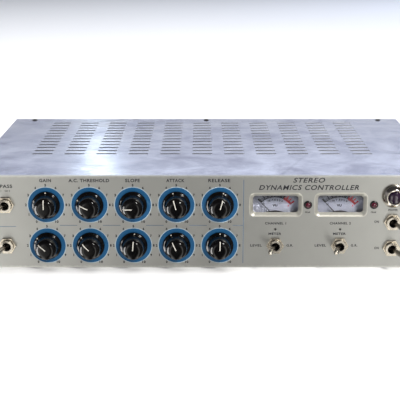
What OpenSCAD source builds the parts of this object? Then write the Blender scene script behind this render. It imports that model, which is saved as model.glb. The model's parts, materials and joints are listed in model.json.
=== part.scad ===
// Two-channel valve compressor and limiter for a 19 inch rack, two units high.
// X runs to the right, Y back into the rack and Z up. The origin is the centre of the
// front panel's face, which is also the centre of its four rack slots.

/* [Front panel] */
// Width over the rack ears
panel_w = 482.6; // [482:0.1:483]
// Height, two rack units less a gap
panel_h = 88.1; // [87.8:0.1:88.4]
// Thickness of the aluminium plate
panel_t = 3.2; // [3:0.1:3.6]
// Distance between the rack slots across the panel
slot_dx = 465.1; // [464:0.1:466]
// Distance between the rack slots up the panel
slot_dz = 76.2; // [76:0.1:76.4]
// Length of a rack slot, end to end
slot_len = 10.3; // [9:0.1:12]
// Width of a rack slot
slot_w = 6.8; // [6.4:0.1:7.2]

/* [Chassis] */
// Outside width of the case behind the panel
case_w = 440; // [438:1:444]
// Depth from the panel's face to the back of the case
case_d = 268; // [262:1:280]
// Height of the case, standing level with the panel's lower edge
case_h = 87.3; // [87:0.1:87.6]
// Thickness of the folded steel tray and rear panel
tray_t = 1.5; // [1.2:0.1:1.6]
// Thickness of the cover's sheet
cover_t = 1.2; // [1:0.1:1.4]
// Height of the cover's side lips
lip_h = 13; // [11:1:16]

/* [Vents in the cover] */
// Number of slots across
vent_cols = 11; // [1:1:11]
// Number of slots front to back
vent_rows = 12; // [1:1:12]
// Distance between slots across
vent_dx = 31.75; // [28:0.25:32]
// Distance between slots front to back
vent_dy = 13.9; // [10:0.1:14]
// Length of a vent slot
vent_len = 20; // [12:1:24]
// Width of a vent slot
vent_w = 3.0; // [2:0.1:3.8]
// Middle of the slot field, off the centre line towards the quiet side
vent_x = -5; // [-10:1:10]
// Front row, behind the panel's face
vent_y = 90.4; // [85:0.1:95]

/* [Knobs] */
// Left column of knobs
knob_x = -148; // [-150:1:-145]
// Distance between columns of knobs
knob_dx = 39.7; // [38:0.1:40]
// Height of the channel 1 controls
row_1_z = 16.4; // [16:0.1:17]
// Height of the channel 2 controls
row_2_z = -22.6; // [-23:0.1:-22]
// Radius of a knob's skirt
skirt_r = 12.9; // [12:0.1:13.5]
// Radius of a knob's grip where it meets the skirt
grip_r = 10.2; // [9:0.1:10.5]
// Radius of a knob's end face
face_r = 8.5; // [7.5:0.1:9]
// How far a knob's end face stands off the panel
knob_proud = 17; // [16:0.5:18]
// Radius of a control shaft
shaft_r = 3; // [3:0.05:3.2]

/* [Toggle switches] */
// Column of the two bypass switches
bypass_x = -185.2; // [-187:0.1:-184]
// Column of the power switch and the link switch
right_x = 169.5; // [168:0.1:172]
// Height of the link switch below the panel's middle
link_z = -25; // [-26:0.5:-24]
// How far a lever tips each way
lever_tilt = 15; // [12:1:16]
// How far a lever reaches from its pivot in the panel's face
lever_len = 22.8; // [20:0.1:24]
// Width across the flats of a switch nut
switch_nut_af = 14.3; // [14:0.1:15]

/* [Meters] */
// Column of the channel 1 meter
meter_1_x = 62.1; // [61:0.1:63]
// Column of the channel 2 meter
meter_2_x = 121.6; // [121:0.1:123]
// Width of the meter cut-out in the panel's face
cut_w = 48.3; // [46:0.1:49]
// Height of the meter cut-out in the panel's face
cut_h = 22.4; // [21:0.1:23]
// Width of the bevel around a meter
bevel_w = 3.3; // [2:0.1:4]
// Depth of the meter needle's pivot below the middle of the window
pivot_drop = 14.4; // [13:0.1:15]
// Reach of the needle
needle_len = 23.5; // [20:0.1:24]
// Needle angle either side of upright
needle_swing = 43; // [38:1:45]

/* [Lamps] */
// Column of the channel 1 peak lamp
led_1_x = 91.4; // [91.2:0.1:91.6]
// Column of the channel 2 peak lamp
led_2_x = 151.8; // [151.4:0.1:152.2]
// Height of the pilot lamp above the panel's middle
pilot_z = 24.8; // [24:0.1:26]
// Outside radius of the pilot lamp's chrome bezel
pilot_r = 11; // [10.5:0.1:11.5]

/* [Rear connectors] */
// Columns of the two input sockets
input_x = [-180, -75];
// Columns of the two output plugs
output_x = [-145, -40];
// Columns of the two side chain jacks
jack_x = [-113, -8];
// Bore radius of a side chain jack
jack_r = 3.25; // [3.2:0.05:3.3]
// Column of the mains inlet
inlet_x = 170; // [160:1:175]
// Column of the fuse holder
fuse_x = 122; // [115:1:128]

/* [Inside] */
// Outside radius of the toroidal transformer
toroid_r = 46; // [40:1:48]
// Height of the toroidal transformer
toroid_h = 40; // [34:1:44]
// Height of the board's standoffs
standoff_h = 8; // [6:1:10]

/* [Hidden] */
eps = 0.1;
base_z = -panel_h / 2;
cover_top_z = base_z + case_h;
cover_in_z = cover_top_z - cover_t;
floor_z = base_z + tray_t;
side_x = case_w / 2 - cover_t;
tray_end_y = case_d - tray_t;
rows_z = [row_1_z, row_2_z];
channels = [1, 2];
// Running gap of a shaft in its bushing, and loose gap of a screw in a hole
run_gap = 0.05;
screw_r = 1.5;
flange_w = 14;

control_names = ["gain", "threshold", "slope", "attack", "release"];
// Where each control is set at rest, in degrees clockwise from upright
control_rest = [[0, -65, -90, -15, 16], [-50, -44, 5, -25, 2]];

skirt_h = 3;
knob_gap = 0.6;
knob_bore_out = 14.5;
nut_room_r = 8.5;
nut_room_out = 5;
rim_r = 0.8;
mark_w = 1.1;
mark_deep = 0.4;
mark_foot_out = 13;
dot_r = 0.9;
dot_at = 11.5;

pot_r = 12;
pot_deep = 10.2;
bushing_r = 4.6;
bushing_out = 4.4;

switch_bushing_r = 5.9;
switch_bore_r = 4;
switch_out = 5.5;
// Name, column, height and rest side of each switch: -1 is left, 1 is right
switches = [
    ["bypass_1", bypass_x, row_1_z, -1], ["bypass_2", bypass_x, row_2_z, -1],
    ["meter_1", meter_1_x, row_2_z, -1], ["meter_2", meter_2_x, row_2_z, -1],
    ["power", right_x, 0, 1], ["link", right_x, link_z, 1]
];

meters_x = [meter_1_x, meter_2_x];
leds_x = [led_1_x, led_2_x];
cut_r = 4.6;
window_w = cut_w - 2 * bevel_w;
window_h = cut_h - 2 * bevel_w;
window_r = 3;
adjust_z = -7;
housing_w = 51;
housing_top = 13.5;
housing_low = -27;
housing_wall = 1.6;
housing_deep = 30;
pane_t = 2;
dial_y = 12;
dial_t = 0.8;
needle_y = 9.6;

led_r = 2.5;
led_flange_r = 3.9;
pilot_bore_r = 6.1;
pilot_proud = 6.8;
pilot_barrel_r = 7.9;

flange_t = 2;
shell_r = 8;
socket_r = 9.7;
socket_depth = 11;
insert_r = 7.9;
insert_gap = 0.1;
pin_circle_r = 4.3;
pin_angles = [150, 30, 270];
latch_w = 6.8;
latch_travel = 1.6;
latch_foot = 9;
barrel_r = 11.8;
barrel_deep = 18;
inlet_w = 24.6;
inlet_h = 17;

board_x0 = -206;
board_x1 = 78;
board_y0 = 48;
board_y1 = 232;
board_t = 1.6;
board_z = floor_z + standoff_h;
board_top_z = board_z + board_t;
standoffs_at = [for (x = [-196, -64, 68]) for (y = [58, 222]) [x, y]];
valves_at = [[-120, 125], [-15, 125]];
outputs_at = [[-150, 195], [-45, 195]];
caps_at = [for (k = [0:3]) [55, 80 + 30 * k]];
toroid_at = [152, 118];
valve_r = 10.5;
valve_h = 50;
socket_h = 11;

panel_screws = [for (x = [-210, 210]) for (z = [-30, 30]) [x, z]];
top_screws_x = [-198, 0, 198];
top_screw_y = case_d - 7;
side_screws_y = [30, 136, 244];
side_screw_z = cover_top_z - 6.5;
flange_screws = [[-9.5, 12], [9.5, -12]];
inlet_screw_dx = 20;

// ---------------------------------------------------------------- drawing helpers

// A 2D outline drawn in X and Z, made a plate from y0 back to y1
module plate(y0, y1) {
    translate([0, y1, 0]) rotate([90, 0, 0]) linear_extrude(y1 - y0) children();
}

// A straight round rod along Y
module rod(r, y0, y1) {
    translate([0, y1, 0]) rotate([90, 0, 0]) cylinder(r = r, h = y1 - y0, $fn = 64);
}

// A profile of [radius, distance out of the panel], turned about the Y axis
module turned(profile) {
    rotate([90, 0, 0]) rotate_extrude($fn = 96) polygon(profile);
}

// A box from its lowest to its highest corner
module box(low, high) {
    translate(low) cube(high - low);
}

module slot_2d(length, width) {
    square([length - width, width], center = true);
    for (s = [-1, 1]) translate([s * (length - width) / 2, 0]) circle(d = width, $fn = 32);
}

module round_rect_2d(w, h, r) {
    square([w - 2 * r, h], center = true);
    square([w, h - 2 * r], center = true);
    for (sx = [-1, 1]) for (sy = [-1, 1])
        translate([sx * (w / 2 - r), sy * (h / 2 - r)]) circle(r = r, $fn = 32);
}

// Puts a piece that is drawn facing the front on the back of the case, facing back
module on_back(x, z = 0) {
    translate([x, case_d, z]) rotate([0, 0, 180]) children();
}

// Each control's column and row, with its channel c and place k
module at_control(c, k) {
    translate([knob_x + k * knob_dx, 0, rows_z[c]]) children();
}

// ---------------------------------------------------------------- case

module meter_cut(x) {
    translate([x, 0, row_1_z]) hull() {
        plate(-eps, 0) round_rect_2d(cut_w, cut_h, cut_r);
        plate(panel_t, panel_t + eps) round_rect_2d(window_w, window_h, window_r);
    }
}

module front_panel() {
    color("silver") difference() {
        plate(0, panel_t) difference() {
            square([panel_w, panel_h], center = true);
            for (sx = [-1, 1]) for (sz = [-1, 1])
                translate([sx * slot_dx / 2, sz * slot_dz / 2]) slot_2d(slot_len, slot_w);
            for (z = rows_z) for (k = [0:4])
                translate([knob_x + k * knob_dx, z]) circle(r = bushing_r + 0.1, $fn = 48);
            for (s = switches) translate([s[1], s[2]]) circle(r = switch_bushing_r + 0.1, $fn = 48);
            for (x = leds_x) translate([x, row_1_z]) circle(r = led_r + 0.8, $fn = 48);
            for (x = meters_x) translate([x, adjust_z]) circle(r = 1, $fn = 24);
            translate([right_x, pilot_z]) circle(r = pilot_barrel_r + 0.1, $fn = 48);
        }
        for (x = meters_x) meter_cut(x);
        for (p = panel_screws) translate([p[0], 0, p[1]]) rod(screw_r + run_gap, 1, panel_t + eps);
    }
}

module chassis_tray() {
    color("lightgray") difference() {
        union() {
            box([-side_x, panel_t, base_z], [side_x, tray_end_y, floor_z]);
            for (s = [-1, 1]) scale([s, 1, 1]) {
                box([side_x - tray_t, panel_t, base_z], [side_x, tray_end_y, cover_in_z]);
                for (y = [panel_t, tray_end_y - tray_t])
                    box([side_x - flange_w, y, base_z], [side_x, y + tray_t, cover_in_z - 4]);
            }
        }
        for (p = panel_screws) for (y = [panel_t, tray_end_y])
            translate([p[0], y, p[1]]) rod(screw_r + run_gap, -2 * tray_t, 2 * tray_t);
        for (y = side_screws_y)
            translate([0, y, side_screw_z]) rotate([0, 0, 90]) rod(screw_r + run_gap, -case_w, case_w);
        for (p = standoffs_at)
            translate([p[0], p[1], base_z - eps]) cylinder(r = screw_r + run_gap, h = 3 * tray_t, $fn = 32);
    }
}

module rear_panel() {
    color("lightgray") difference() {
        union() {
            plate(tray_end_y, case_d) difference() {
                translate([-side_x, base_z]) square([2 * side_x, cover_in_z - base_z]);
                for (x = concat(input_x, output_x)) translate([x, 0]) circle(r = barrel_r + 0.2, $fn = 64);
                for (x = input_x) translate([x, 12.2]) square([latch_w + 0.8, 5.4], center = true);
                for (x = concat(input_x, output_x)) for (p = flange_screws)
                    translate([x - p[0], p[1]]) circle(r = screw_r + run_gap, $fn = 24);
                for (x = jack_x) translate([x, 0]) circle(r = 5.6, $fn = 48);
                translate([inlet_x, 0]) square([inlet_w + 3.8, inlet_h + 3.8], center = true);
                for (s = [-1, 1]) translate([inlet_x + s * inlet_screw_dx, 0])
                    circle(r = screw_r + run_gap, $fn = 24);
                translate([fuse_x, 0]) circle(r = 6.1, $fn = 48);
                for (p = panel_screws) translate(p) circle(r = screw_r + run_gap, $fn = 24);
            }
            box([-203, case_d - 14, cover_in_z - tray_t], [203, tray_end_y + eps, cover_in_z]);
        }
        for (x = top_screws_x) translate([x, top_screw_y, cover_in_z - 2 * tray_t])
            cylinder(r = screw_r + run_gap, h = 3 * tray_t, $fn = 32);
    }
}

module top_cover() {
    color("gainsboro") difference() {
        union() {
            translate([0, 0, cover_in_z]) linear_extrude(cover_t) difference() {
                translate([-case_w / 2, panel_t]) square([case_w, case_d - panel_t]);
                for (i = [0:vent_cols - 1]) for (j = [0:vent_rows - 1])
                    translate([vent_x + (i - (vent_cols - 1) / 2) * vent_dx, vent_y + j * vent_dy])
                        slot_2d(vent_len, vent_w);
                for (x = top_screws_x) translate([x, top_screw_y]) circle(r = screw_r + 0.2, $fn = 24);
            }
            for (s = [-1, 1]) scale([s, 1, 1])
                box([side_x, panel_t, cover_top_z - lip_h], [case_w / 2, case_d, cover_in_z + eps]);
        }
        for (y = side_screws_y)
            translate([0, y, side_screw_z]) rotate([0, 0, 90]) rod(screw_r + 0.2, -case_w, case_w);
    }
}

// A low-headed M3 screw, its head out of the panel and its shank behind
module m3_screw(length) {
    difference() {
        turned([[0, -length], [screw_r, -length], [screw_r, 0], [2.9, 0], [2.9, 0.6], [2.3, 1.1], [0, 1.1]]);
        for (a = [0, 90]) rotate([0, a, 0]) translate([0, -0.9, 0]) cube([3.2, 0.8, 0.7], center = true);
    }
}

module machine_screws() {
    color("dimgray") {
        for (x = top_screws_x) translate([x, top_screw_y, cover_top_z]) rotate([-90, 0, 0]) m3_screw(6);
        for (s = [-1, 1]) for (y = side_screws_y)
            translate([s * case_w / 2, y, side_screw_z]) rotate([0, 0, s * 90]) m3_screw(5);
        for (p = panel_screws) translate([p[0], panel_t + tray_t, p[1]]) rotate([0, 0, 180]) m3_screw(3.5);
        for (p = panel_screws) on_back(p[0], p[1]) m3_screw(5);
        for (x = concat(input_x, output_x)) for (p = flange_screws)
            on_back(x - p[0], p[1]) translate([0, -flange_t, 0]) m3_screw(7);
        for (s = [-1, 1]) on_back(inlet_x + s * inlet_screw_dx) translate([0, -flange_t, 0]) m3_screw(7);
        for (p = standoffs_at) translate([p[0], p[1], board_top_z]) rotate([-90, 0, 0]) m3_screw(5);
    }
}

// ---------------------------------------------------------------- rotary controls

// Solid outline of the knob's grip, taken in by a given depth
function grip_profile(deep) = [
    [0, skirt_h], [grip_r - deep, skirt_h + 1.2], [face_r + 0.2 - deep, knob_proud - rim_r - deep],
    [face_r - rim_r - deep, knob_proud - deep], [0, knob_proud - deep]
];

module knob(angle) {
    color([0.08, 0.08, 0.08]) rotate([0, angle, 0]) difference() {
        turned([
            [nut_room_r, knob_gap], [skirt_r, knob_gap], [skirt_r, skirt_h - 0.8], [skirt_r - 0.6, skirt_h],
            [grip_r, skirt_h + 1.2], [face_r + 0.2, knob_proud - rim_r], [face_r - rim_r, knob_proud],
            [0, knob_proud], [0, knob_bore_out], [shaft_r + 0.02, knob_bore_out],
            [shaft_r + 0.02, nut_room_out], [nut_room_r, nut_room_out]
        ]);
        difference() {
            box([-mark_w / 2, -knob_proud - 1, 0.2], [mark_w / 2, -mark_foot_out, skirt_r]);
            turned(grip_profile(mark_deep));
        }
        translate([0, 0, dot_at]) rod(dot_r, -skirt_h - 3, -skirt_h - 0.3);
    }
}

module shaft() {
    color("goldenrod") rod(shaft_r, -knob_bore_out + 0.2, panel_t + pot_deep - 1.4);
}

module pot() {
    difference() {
        union() {
            rod(pot_r, panel_t, panel_t + pot_deep);
            rod(bushing_r, -bushing_out, panel_t + eps);
            for (s = [-1, 0, 1])
                box([s * 5 - 0.8, panel_t + 4, -pot_r - 5], [s * 5 + 0.8, panel_t + 4.8, -pot_r + 2]);
        }
        rod(shaft_r + run_gap, -bushing_out - eps, panel_t + pot_deep - 1);
    }
}

module pot_bodies() {
    color("slategray") for (c = [0, 1]) for (k = [0:4]) at_control(c, k) pot();
}

module pot_nuts() {
    color("silver") for (c = [0, 1]) for (k = [0:4]) at_control(c, k) plate(-2, 0) difference() {
        circle(r = 7.4, $fn = 6);
        circle(r = bushing_r + run_gap, $fn = 48);
    }
}

// ---------------------------------------------------------------- toggle switches

module switch_bodies() {
    color("gray") for (s = switches) translate([s[1], 0, s[2]]) difference() {
        union() {
            box([-7, panel_t, -6.3], [7, panel_t + 20, 6.3]);
            rod(switch_bushing_r, -switch_out, panel_t + eps);
            for (i = [-1, 0, 1])
                box([i * 4.7 - 1, panel_t + 20 - eps, -2], [i * 4.7 + 1, panel_t + 26, 2]);
        }
        rod(switch_bore_r, -switch_out - eps, panel_t + 6);
    }
}

module switch_nuts() {
    color("silver") for (s = switches) translate([s[1], 0, s[2]]) plate(-2.6, 0) difference() {
        circle(r = switch_nut_af / sqrt(3), $fn = 6);
        circle(r = switch_bushing_r + run_gap, $fn = 48);
    }
}

// The bat lever, its ball in the switch's bushing and its tail inside the body
module lever(side) {
    tip_r = 2.5;
    color("gainsboro") rotate([0, 0, side * lever_tilt]) union() {
        turned([
            [0, -5], [1.2, -5], [1.2, 0], [1.7, 2.4], [1.8, 6], [tip_r, lever_len - 3.4],
            [tip_r - 0.1, lever_len - 1.6], [tip_r - 0.8, lever_len - 0.5], [tip_r - 1.7, lever_len], [0, lever_len]
        ]);
        sphere(r = 3, $fn = 48);
    }
}

// ---------------------------------------------------------------- meters

module at_meter(c) {
    translate([meters_x[c], 0, row_1_z]) children();
}

module meter_housing() {
    difference() {
        box([-housing_w / 2, panel_t, housing_low], [housing_w / 2, panel_t + housing_deep, housing_top]);
        box([-housing_w / 2 + housing_wall, panel_t - eps, housing_low + housing_wall],
            [housing_w / 2 - housing_wall, panel_t + housing_deep - housing_wall, housing_top - housing_wall]);
    }
    // The black cover in front of the needle's pivot, with its top edge just in the window
    plate(6.2, 7.4) intersection() {
        translate([0, -27.2]) circle(r = 20, $fn = 96);
        translate([-housing_w / 2 + 1, housing_low + 1]) square([housing_w - 2, 22]);
    }
}

module meter_housings() {
    color([0.1, 0.1, 0.1]) for (c = [0, 1]) at_meter(c) meter_housing();
}

module meter_windows() {
    inset = housing_wall + 0.1;
    color([0.8, 0.9, 0.95, 0.35]) for (c = [0, 1]) at_meter(c)
        box([-housing_w / 2 + inset, panel_t, housing_low + inset],
            [housing_w / 2 - inset, panel_t + pane_t, housing_top - inset]);
}

module meter_dials() {
    inset = housing_wall + 0.1;
    color("ivory") for (c = [0, 1]) at_meter(c) plate(dial_y, dial_y + dial_t) difference() {
        translate([-housing_w / 2 + inset, housing_low + inset])
            square([housing_w - 2 * inset, housing_top - housing_low - 2 * inset]);
        translate([0, -pivot_drop]) circle(r = 2.6, $fn = 48);
    }
}

// The moving-coil movement behind each dial, with the bore that the needle's arbor turns in
module meter_movements() {
    color("dimgray") for (c = [0, 1]) at_meter(c) translate([0, 0, -pivot_drop]) difference() {
        box([-11, dial_y + dial_t, -9], [11, panel_t + housing_deep - housing_wall, 9]);
        rod(0.8 + run_gap, dial_y, dial_y + 14);
    }
}

module needle(c) {
    color([0.1, 0.1, 0.1]) at_meter(c) translate([0, 0, -pivot_drop]) rotate([0, -needle_swing, 0]) {
        rod(0.8, needle_y - 1, dial_y + 13.5);
        rod(2.2, needle_y - 0.5, needle_y + 0.9);
        plate(needle_y, needle_y + 0.4)
            polygon([[-0.7, 0], [0.7, 0], [0.18, needle_len], [-0.18, needle_len]]);
        plate(needle_y, needle_y + 0.4) polygon([[-0.7, 0], [-1.3, -6], [1.3, -6], [0.7, 0]]);
    }
}

// ---------------------------------------------------------------- lamps

module led_holders() {
    color([0.1, 0.05, 0.05]) for (x = leds_x) translate([x, 0, row_1_z]) turned([
        [led_r + run_gap, -8], [led_r + 0.7, -8], [led_r + 0.7, 0], [led_flange_r, 0],
        [led_flange_r, 0.8], [led_flange_r - 0.6, 1.4], [led_r + run_gap, 1.4]
    ]);
}

module led_lamps() {
    color("darkred") for (x = leds_x) translate([x, 0, row_1_z]) {
        rod(led_r, -0.9, 9);
        translate([0, -0.9, 0]) sphere(r = led_r, $fn = 48);
        for (s = [-1, 1]) translate([s * 1.27, 0, 0]) rod(0.3, 9 - eps, 18);
    }
}

module pilot_bezel() {
    color("silver") translate([right_x, 0, pilot_z]) turned([
        [pilot_bore_r, -28], [pilot_barrel_r, -28], [pilot_barrel_r, 0], [pilot_r, 0], [pilot_r, 1],
        [pilot_r - 0.5, 2.8], [pilot_r - 1.7, 4.8], [pilot_r - 3.3, 6.3], [pilot_bore_r + 0.6, pilot_proud],
        [pilot_bore_r, pilot_proud]
    ]);
}

module pilot_jewel() {
    glass_r = pilot_bore_r - run_gap;
    color([0.15, 0.02, 0.02]) translate([right_x, 0, pilot_z]) turned([
        [0, -20], [glass_r, -20], [glass_r, pilot_proud - 0.6], [glass_r - 0.9, pilot_proud + 0.3],
        [glass_r - 2.8, pilot_proud + 0.9], [0, pilot_proud + 1.1]
    ]);
}

// ---------------------------------------------------------------- inside the case

module circuit_board() {
    color("darkgreen") translate([0, 0, board_z]) linear_extrude(board_t) difference() {
        translate([board_x0, board_y0]) square([board_x1 - board_x0, board_y1 - board_y0]);
        for (p = standoffs_at) translate(p) circle(r = screw_r + run_gap, $fn = 24);
    }
}

module board_standoffs() {
    color("gold") for (p = standoffs_at) translate([p[0], p[1], floor_z]) difference() {
        cylinder(r = 3.2, h = standoff_h, $fn = 6);
        translate([0, 0, -eps]) cylinder(r = screw_r + run_gap, h = standoff_h + 2 * eps, $fn = 32);
    }
}

module valve_sockets() {
    color("white") for (p = valves_at) translate([p[0], p[1], board_top_z]) difference() {
        cylinder(r = 11.5, h = socket_h, $fn = 64);
        translate([0, 0, 4]) cylinder(r = valve_r + 0.2, h = socket_h, $fn = 64);
    }
}

// A nine-pin glass valve: straight envelope, domed top with its drawn-off tip
module valves() {
    color([0.8, 0.85, 0.9, 0.5]) for (p = valves_at) translate([p[0], p[1], board_top_z + 4])
        rotate_extrude($fn = 64) polygon([
            [0, 0], [valve_r, 0], [valve_r, valve_h - 8], [valve_r - 1.4, valve_h - 4],
            [valve_r - 4.6, valve_h - 1], [1.6, valve_h], [1, valve_h + 3], [0, valve_h + 3]
        ]);
}

module mains_transformer() {
    color("gold") translate([toroid_at[0], toroid_at[1], floor_z]) rotate_extrude($fn = 96) polygon([
        [0, 0], [toroid_r - 6, 0], [toroid_r, 6], [toroid_r, toroid_h - 6], [toroid_r - 6, toroid_h],
        [22, toroid_h], [16, toroid_h - 5], [8, toroid_h - 5], [8, toroid_h + 4], [4, toroid_h + 4],
        [4, toroid_h + 8], [0, toroid_h + 8]
    ]);
}

module output_transformers() {
    color("steelblue") for (p = outputs_at) translate([p[0] - 17, p[1] - 15, board_top_z]) cube([34, 30, 36]);
}

module filter_capacitors() {
    color("navy") for (p = caps_at) translate([p[0], p[1], board_top_z]) rotate_extrude($fn = 64) polygon([
        [0, 0], [10, 0], [10, 2.6], [9.4, 3.4], [10, 4.2], [10, 33.4], [9.4, 34], [0, 34]
    ]);
}

// ---------------------------------------------------------------- rear connectors

// The square flange and round barrel that the input sockets and output plugs share
module xlr_shell() {
    plate(-flange_t, 0) difference() {
        round_rect_2d(26, 31, 3);
        for (p = flange_screws) translate(p) circle(r = screw_r + run_gap, $fn = 24);
    }
    rod(barrel_r, -eps, barrel_deep);
}

module xlr_inputs() {
    color([0.15, 0.15, 0.16]) for (x = input_x) on_back(x) {
        // The housing, with the bore that a cable plug's shell enters and the latch's slot
        difference() {
            xlr_shell();
            rod(socket_r, -flange_t - eps, socket_depth);
            box([-latch_w / 2 - 0.3, -flange_t - eps, 10.3],
                [latch_w / 2 + 0.3, latch_foot + 2 * latch_travel, 14.8]);
        }
        // The insulator in the middle of that bore, with its three contacts
        difference() {
            rod(insert_r, -flange_t, socket_depth - insert_gap);
            for (a = pin_angles) translate([pin_circle_r * cos(a), 0, pin_circle_r * sin(a)])
                rod(1.3, -flange_t - eps, socket_depth - 1);
        }
    }
}

// The push tab that lets a cable plug go, drawn facing the front
module xlr_latch() {
    box([-latch_w / 2, -flange_t - 2, 10.7], [latch_w / 2, -0.4, 14.4]);
    box([-latch_w / 2, -1, 10.7], [latch_w / 2, latch_foot, 12]);
}

module xlr_outputs() {
    color([0.6, 0.6, 0.62]) for (x = output_x) on_back(x) {
        difference() {
            xlr_shell();
            rod(shell_r, -flange_t - eps, 13);
        }
        for (a = pin_angles) translate([pin_circle_r * cos(a), 0, pin_circle_r * sin(a)])
            rod(1.2, -0.5, 13 + eps);
    }
}

module sidechain_jacks() {
    color([0.12, 0.12, 0.12]) for (x = jack_x) on_back(x) difference() {
        union() {
            rod(5.5, -4, eps);
            box([-8, tray_t, -7], [8, 27, 7]);
            rod(5.5, 0, tray_t + eps);
            plate(-2, 0) circle(r = 7.6, $fn = 6);
        }
        rod(jack_r, -4 - eps, 24);
    }
}

module inlet_2d(w, h, cut) {
    polygon([
        [-w / 2, h / 2], [w / 2, h / 2], [w / 2, -h / 2 + cut], [w / 2 - cut, -h / 2],
        [-w / 2 + cut, -h / 2], [-w / 2, -h / 2 + cut]
    ]);
}

module mains_inlet() {
    color([0.1, 0.1, 0.1]) on_back(inlet_x) {
        difference() {
            union() {
                plate(-flange_t, 0) difference() {
                    round_rect_2d(50, 25, 5);
                    for (s = [-1, 1]) translate([s * inlet_screw_dx, 0])
                        circle(r = screw_r + run_gap, $fn = 24);
                }
                plate(-eps, 17) square([inlet_w + 3.4, inlet_h + 3.4], center = true);
            }
            plate(-flange_t - eps, 14) inlet_2d(inlet_w, inlet_h, 4);
        }
        for (p = [[-7, -1.5], [7, -1.5], [0, 2.5]])
            box([p[0] - 1, -0.5, p[1] - 2], [p[0] + 1, 14 + eps, p[1] + 2]);
    }
}

module fuse_holder() {
    color([0.1, 0.1, 0.1]) on_back(fuse_x) difference() {
        union() {
            plate(-2.5, 0) circle(r = 8, $fn = 64);
            rod(6, -eps, 28);
            plate(tray_t, tray_t + 2.5) circle(r = 9, $fn = 6);
        }
        rod(4.4, -2.5 - eps, 24);
    }
}

// The bayonet cap that carries the fuse, with its coin slot
module fuse_cap() {
    color([0.12, 0.12, 0.12]) on_back(fuse_x) difference() {
        turned([
            [0, -22], [4.3, -22], [4.3, 2.6], [6.4, 2.6], [6.4, 7.6], [5.8, 8.4], [0, 8.4]
        ]);
        translate([0, -8.4, 0]) cube([9, 2.4, 1.6], center = true);
    }
}

// ---------------------------------------------------------------- nodes

front_panel();
chassis_tray();
rear_panel();
top_cover();
machine_screws();
pot_bodies();
pot_nuts();
switch_bodies();
switch_nuts();
meter_housings();
meter_windows();
meter_dials();
meter_movements();
led_holders();
led_lamps();
pilot_bezel();
pilot_jewel();
circuit_board();
board_standoffs();
valve_sockets();
valves();
mains_transformer();
output_transformers();
filter_capacitors();
xlr_inputs();
xlr_outputs();
sidechain_jacks();
mains_inlet();
fuse_holder();
fuse_cap();
for (c = [0, 1]) for (k = [0:4]) {
    at_control(c, k) knob(control_rest[c][k]);
    at_control(c, k) shaft();
}
for (s = switches)
    translate([s[1], 0, s[2]]) lever(s[3]);
for (c = [0, 1]) {
    needle(c);
    color("silver") on_back(input_x[c]) xlr_latch();
}
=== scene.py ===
# %% [markdown]
# # A two-channel valve compressor for the rack
#
# This lesson dresses a working model of a studio compressor: a satin aluminium panel with ten
# knobs, six toggle switches and two meters, in front of a bare steel case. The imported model
# brings every part at its real size and in its real place. Blender adds what the eye expects:
# softened edges, turned knobs, printed scales, worn metal and good light.
#
# The frame is in metres, with X to the right, Y back into the rack and Z up. The origin is in
# the middle of the panel's face.

# %% Load the frame
import json
import math

import bmesh
import bpy
from mathutils import Matrix, Vector


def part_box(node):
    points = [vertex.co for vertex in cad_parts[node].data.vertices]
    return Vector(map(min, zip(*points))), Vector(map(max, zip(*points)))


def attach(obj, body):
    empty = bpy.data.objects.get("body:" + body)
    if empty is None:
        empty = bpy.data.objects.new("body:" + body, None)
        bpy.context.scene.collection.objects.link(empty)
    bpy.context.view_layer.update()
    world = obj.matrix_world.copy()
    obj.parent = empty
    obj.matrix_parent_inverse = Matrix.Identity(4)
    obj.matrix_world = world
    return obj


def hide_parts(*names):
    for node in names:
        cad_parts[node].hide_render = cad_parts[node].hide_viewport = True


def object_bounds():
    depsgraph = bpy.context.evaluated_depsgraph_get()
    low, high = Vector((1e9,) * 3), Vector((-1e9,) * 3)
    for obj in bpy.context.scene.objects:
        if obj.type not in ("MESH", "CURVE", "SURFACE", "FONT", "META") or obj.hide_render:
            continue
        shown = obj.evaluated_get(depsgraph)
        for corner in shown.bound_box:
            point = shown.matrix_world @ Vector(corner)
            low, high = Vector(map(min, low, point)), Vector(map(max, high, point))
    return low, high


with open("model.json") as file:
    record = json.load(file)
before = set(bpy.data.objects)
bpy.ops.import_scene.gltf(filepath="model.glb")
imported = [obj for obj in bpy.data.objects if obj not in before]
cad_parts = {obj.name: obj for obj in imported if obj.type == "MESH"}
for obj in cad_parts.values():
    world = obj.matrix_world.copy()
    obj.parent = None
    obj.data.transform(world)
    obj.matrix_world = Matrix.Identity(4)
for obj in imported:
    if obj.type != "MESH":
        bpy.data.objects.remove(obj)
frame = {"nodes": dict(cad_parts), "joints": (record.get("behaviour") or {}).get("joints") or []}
cad_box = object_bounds()
scene = bpy.context.scene
nodes = frame["nodes"]
joints = {joint["name"]: joint for joint in frame["joints"]}
MM = 0.001
print(len(nodes), "nodes,", len(joints), "joints; lowest corner", tuple(round(v, 4) for v in cad_box[0]))

# %% [markdown]
# ## The camera
#
# The unit sits a little below eye height and close by, so the camera looks down by about
# sixteen degrees with a portrait lens. It is made first, because every later choice of edge
# width and bump is judged through it.

# %% Place the camera
camera_data = bpy.data.cameras.new("camera")
camera_data.sensor_width = 36
camera_data.lens = 90.95
camera_data.shift_y = 0.0041
camera_data.clip_start = 0.02
camera = bpy.data.objects.new("camera", camera_data)
camera.location = (-0.0073, -0.8878, 0.2717)
camera.rotation_euler = (math.radians(90 - 15.86), 0, 0)
scene.collection.objects.link(camera)
scene.camera = camera
scene.view_settings.view_transform = "Standard"
print("camera", tuple(round(v, 3) for v in camera.location), "lens", camera_data.lens)

# %% [markdown]
# ## Helpers for nodes
#
# Shaders and Geometry Nodes are both trees, so one set of helpers builds either. `put` adds a
# node: each of its inputs is a plain value, or another node's output to draw a noodle from.
# `reckon` is a Math node and `ramp` a Map Range node, and both give their output.


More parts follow.
